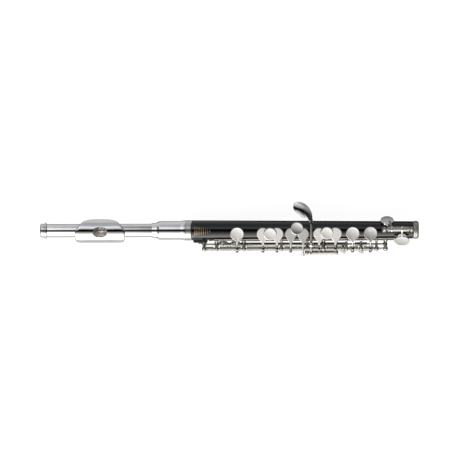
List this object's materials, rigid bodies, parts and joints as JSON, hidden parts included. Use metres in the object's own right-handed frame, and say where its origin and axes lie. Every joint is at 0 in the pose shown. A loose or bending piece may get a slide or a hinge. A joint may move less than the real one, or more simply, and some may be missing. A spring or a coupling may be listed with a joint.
{
  "type": "piccolo",
  "caption": "Small transverse flute with a silver head joint, a conical black body and sprung Boehm keys on long rods.",
  "frame": {"origin": "centre of the bounding box's underside, on the table below the tube, with every key at rest", "axes": "+X along the tube from crown to foot, +Z out of the tone holes and blow hole, -Y towards the player, where the key rods lie"},
  "size_m": [0.3218, 0.0478, 0.0292],
  "materials": {
    "head_silver": "polished silver plate",
    "key_silver": "satin-polished silver plate",
    "post_silver": "polished nickel silver",
    "rod_steel": "turned steel",
    "black_body": "polished black composite",
    "cork": "sanded cork",
    "pad_skin": "fish-skin covered felt"
  },
  "bodies": {
    "body": {"body_tube": "black_body", "tenon_cork": "cork", "body_ring": "head_silver", "foot_ring": "head_silver", "key_rib": "post_silver", "upper_post": "post_silver", "thumb_post_1": "post_silver", "thumb_post_2": "post_silver", "foot_post_1": "post_silver", "foot_post_2": "post_silver", "main_steel": "rod_steel", "side_steel": "rod_steel", "thumb_steel": "rod_steel", "foot_steel": "rod_steel"},
    "head_joint": {"head_tube": "head_silver", "head_socket": "head_silver", "lip_plate": "head_silver", "riser": "head_silver"},
    "crown": {"crown_cap": "head_silver"},
    "stopper": {"stopper_cork": "cork", "stopper_screw": "rod_steel"},
    "c_sharp_key": {"c_sharp_key": "key_silver", "c_sharp_pad": "pad_skin"},
    "b_flat_key": {"b_flat_key": "key_silver", "b_flat_pad": "pad_skin"},
    "a_key": {"a_key": "key_silver", "a_pad": "pad_skin"},
    "g_upper_key": {"g_upper_key": "key_silver", "g_upper_pad": "pad_skin"},
    "g_lower_key": {"g_lower_key": "key_silver", "g_lower_pad": "pad_skin"},
    "f_sharp_key": {"f_sharp_key": "key_silver", "f_sharp_pad": "pad_skin"},
    "f_key": {"f_key": "key_silver", "f_pad": "pad_skin"},
    "e_key": {"e_key": "key_silver", "e_pad": "pad_skin"},
    "d_key": {"d_key": "key_silver", "d_pad": "pad_skin"},
    "thumb_b_key": {"thumb_b_key": "key_silver", "thumb_b_pad": "pad_skin"},
    "thumb_b_flat_lever": {"thumb_b_flat_lever": "key_silver"},
    "g_sharp_key": {"g_sharp_key": "key_silver", "g_sharp_pad": "pad_skin"},
    "e_flat_key": {"e_flat_key": "key_silver", "e_flat_pad": "pad_skin"},
    "d_trill_key": {"d_trill_key": "key_silver", "d_trill_pad": "pad_skin"},
    "d_sharp_trill_key": {"d_sharp_trill_key": "key_silver", "d_sharp_trill_pad": "pad_skin"}
  },
  "joints": [
    {"name": "head_slide", "type": "slide", "parent": "body", "child": "head_joint", "axis": [-1, 0, 0], "range_m": [0, 0.022]},
    {"name": "crown_turn", "type": "hinge", "parent": "head_joint", "child": "crown", "pos_m": [-0.1551, -0.00244, 0.0136], "axis": [1, 0, 0], "range_deg": [-360, 360]},
    {"name": "stopper_slide", "type": "slide", "parent": "head_joint", "child": "stopper", "axis": [1, 0, 0], "range_m": [-0.001, 0.001]},
    {"name": "c_sharp_press", "type": "hinge", "parent": "body", "child": "c_sharp_key", "pos_m": [0.0065, -0.01744, 0.0191], "axis": [-1, 0, 0], "range_deg": [0, 7], "stiffness_Nm_per_rad": 0.006, "springref_deg": -22.92},
    {"name": "b_flat_press", "type": "hinge", "parent": "body", "child": "b_flat_key", "pos_m": [0.0285, -0.01744, 0.0191], "axis": [-1, 0, 0], "range_deg": [0, 7], "stiffness_Nm_per_rad": 0.006, "springref_deg": -22.92},
    {"name": "a_press", "type": "hinge", "parent": "body", "child": "a_key", "pos_m": [0.0404, -0.01744, 0.0191], "axis": [-1, 0, 0], "range_deg": [0, 7], "stiffness_Nm_per_rad": 0.006, "springref_deg": -22.92},
    {"name": "g_upper_press", "type": "hinge", "parent": "body", "child": "g_upper_key", "pos_m": [0.0521, -0.01744, 0.0191], "axis": [-1, 0, 0], "range_deg": [0, 7], "stiffness_Nm_per_rad": 0.006, "springref_deg": -22.92},
    {"name": "g_lower_press", "type": "hinge", "parent": "body", "child": "g_lower_key", "pos_m": [0.0625, -0.01744, 0.0191], "axis": [-1, 0, 0], "range_deg": [0, 7], "stiffness_Nm_per_rad": 0.006, "springref_deg": -22.92},
    {"name": "f_sharp_press", "type": "hinge", "parent": "body", "child": "f_sharp_key", "pos_m": [0.0762, -0.01744, 0.0191], "axis": [-1, 0, 0], "range_deg": [0, 7], "stiffness_Nm_per_rad": 0.006, "springref_deg": -22.92},
    {"name": "f_press", "type": "hinge", "parent": "body", "child": "f_key", "pos_m": [0.09, -0.01744, 0.0191], "axis": [-1, 0, 0], "range_deg": [0, 7], "stiffness_Nm_per_rad": 0.006, "springref_deg": -22.92},
    {"name": "e_press", "type": "hinge", "parent": "body", "child": "e_key", "pos_m": [0.1046, -0.01744, 0.0191], "axis": [-1, 0, 0], "range_deg": [0, 7], "stiffness_Nm_per_rad": 0.006, "springref_deg": -22.92},
    {"name": "d_press", "type": "hinge", "parent": "body", "child": "d_key", "pos_m": [0.1197, -0.01744, 0.0191], "axis": [-1, 0, 0], "range_deg": [0, 7], "stiffness_Nm_per_rad": 0.006, "springref_deg": -22.92},
    {"name": "thumb_b_press", "type": "hinge", "parent": "body", "child": "thumb_b_key", "pos_m": [0.0174, -0.01244, 0.002], "axis": [1, 0, 0], "range_deg": [0, 6], "stiffness_Nm_per_rad": 0.006, "springref_deg": -22.92},
    {"name": "thumb_b_flat_press", "type": "hinge", "parent": "body", "child": "thumb_b_flat_lever", "pos_m": [0.0307, -0.01244, 0.002], "axis": [1, 0, 0], "range_deg": [0, 6], "stiffness_Nm_per_rad": 0.006, "springref_deg": -22.92},
    {"name": "g_sharp_press", "type": "hinge", "parent": "body", "child": "g_sharp_key", "pos_m": [0.0605, -0.02154, 0.0146], "axis": [-1, 0, 0], "range_deg": [0, 6], "stiffness_Nm_per_rad": 0.006, "springref_deg": -22.92},
    {"name": "e_flat_press", "type": "hinge", "parent": "body", "child": "e_flat_key", "pos_m": [0.1339, 0.00036, 0.0251], "axis": [1, 0, 0], "range_deg": [0, 9], "stiffness_Nm_per_rad": 0.006, "springref_deg": -22.92},
    {"name": "d_trill_press", "type": "hinge", "parent": "body", "child": "d_trill_key", "pos_m": [0.0053, -0.01544, 0.0096], "axis": [1, 0, 0], "range_deg": [0, 10], "stiffness_Nm_per_rad": 0.006, "springref_deg": -22.92},
    {"name": "d_sharp_trill_press", "type": "hinge", "parent": "body", "child": "d_sharp_trill_key", "pos_m": [-0.0052, -0.01544, 0.0096], "axis": [1, 0, 0], "range_deg": [0, 10], "stiffness_Nm_per_rad": 0.006, "springref_deg": -22.92}
  ],
  "couplings": [
    {"joint": "stopper_slide", "follows": "crown_turn", "m_per_rad": -0.000159},
    {"joint": "b_flat_press", "follows": "a_press", "ratio": 1},
    {"joint": "g_lower_press", "follows": "g_upper_press", "ratio": 1},
    {"joint": "f_sharp_press", "follows": "f_press", "ratio": 1}
  ]
}
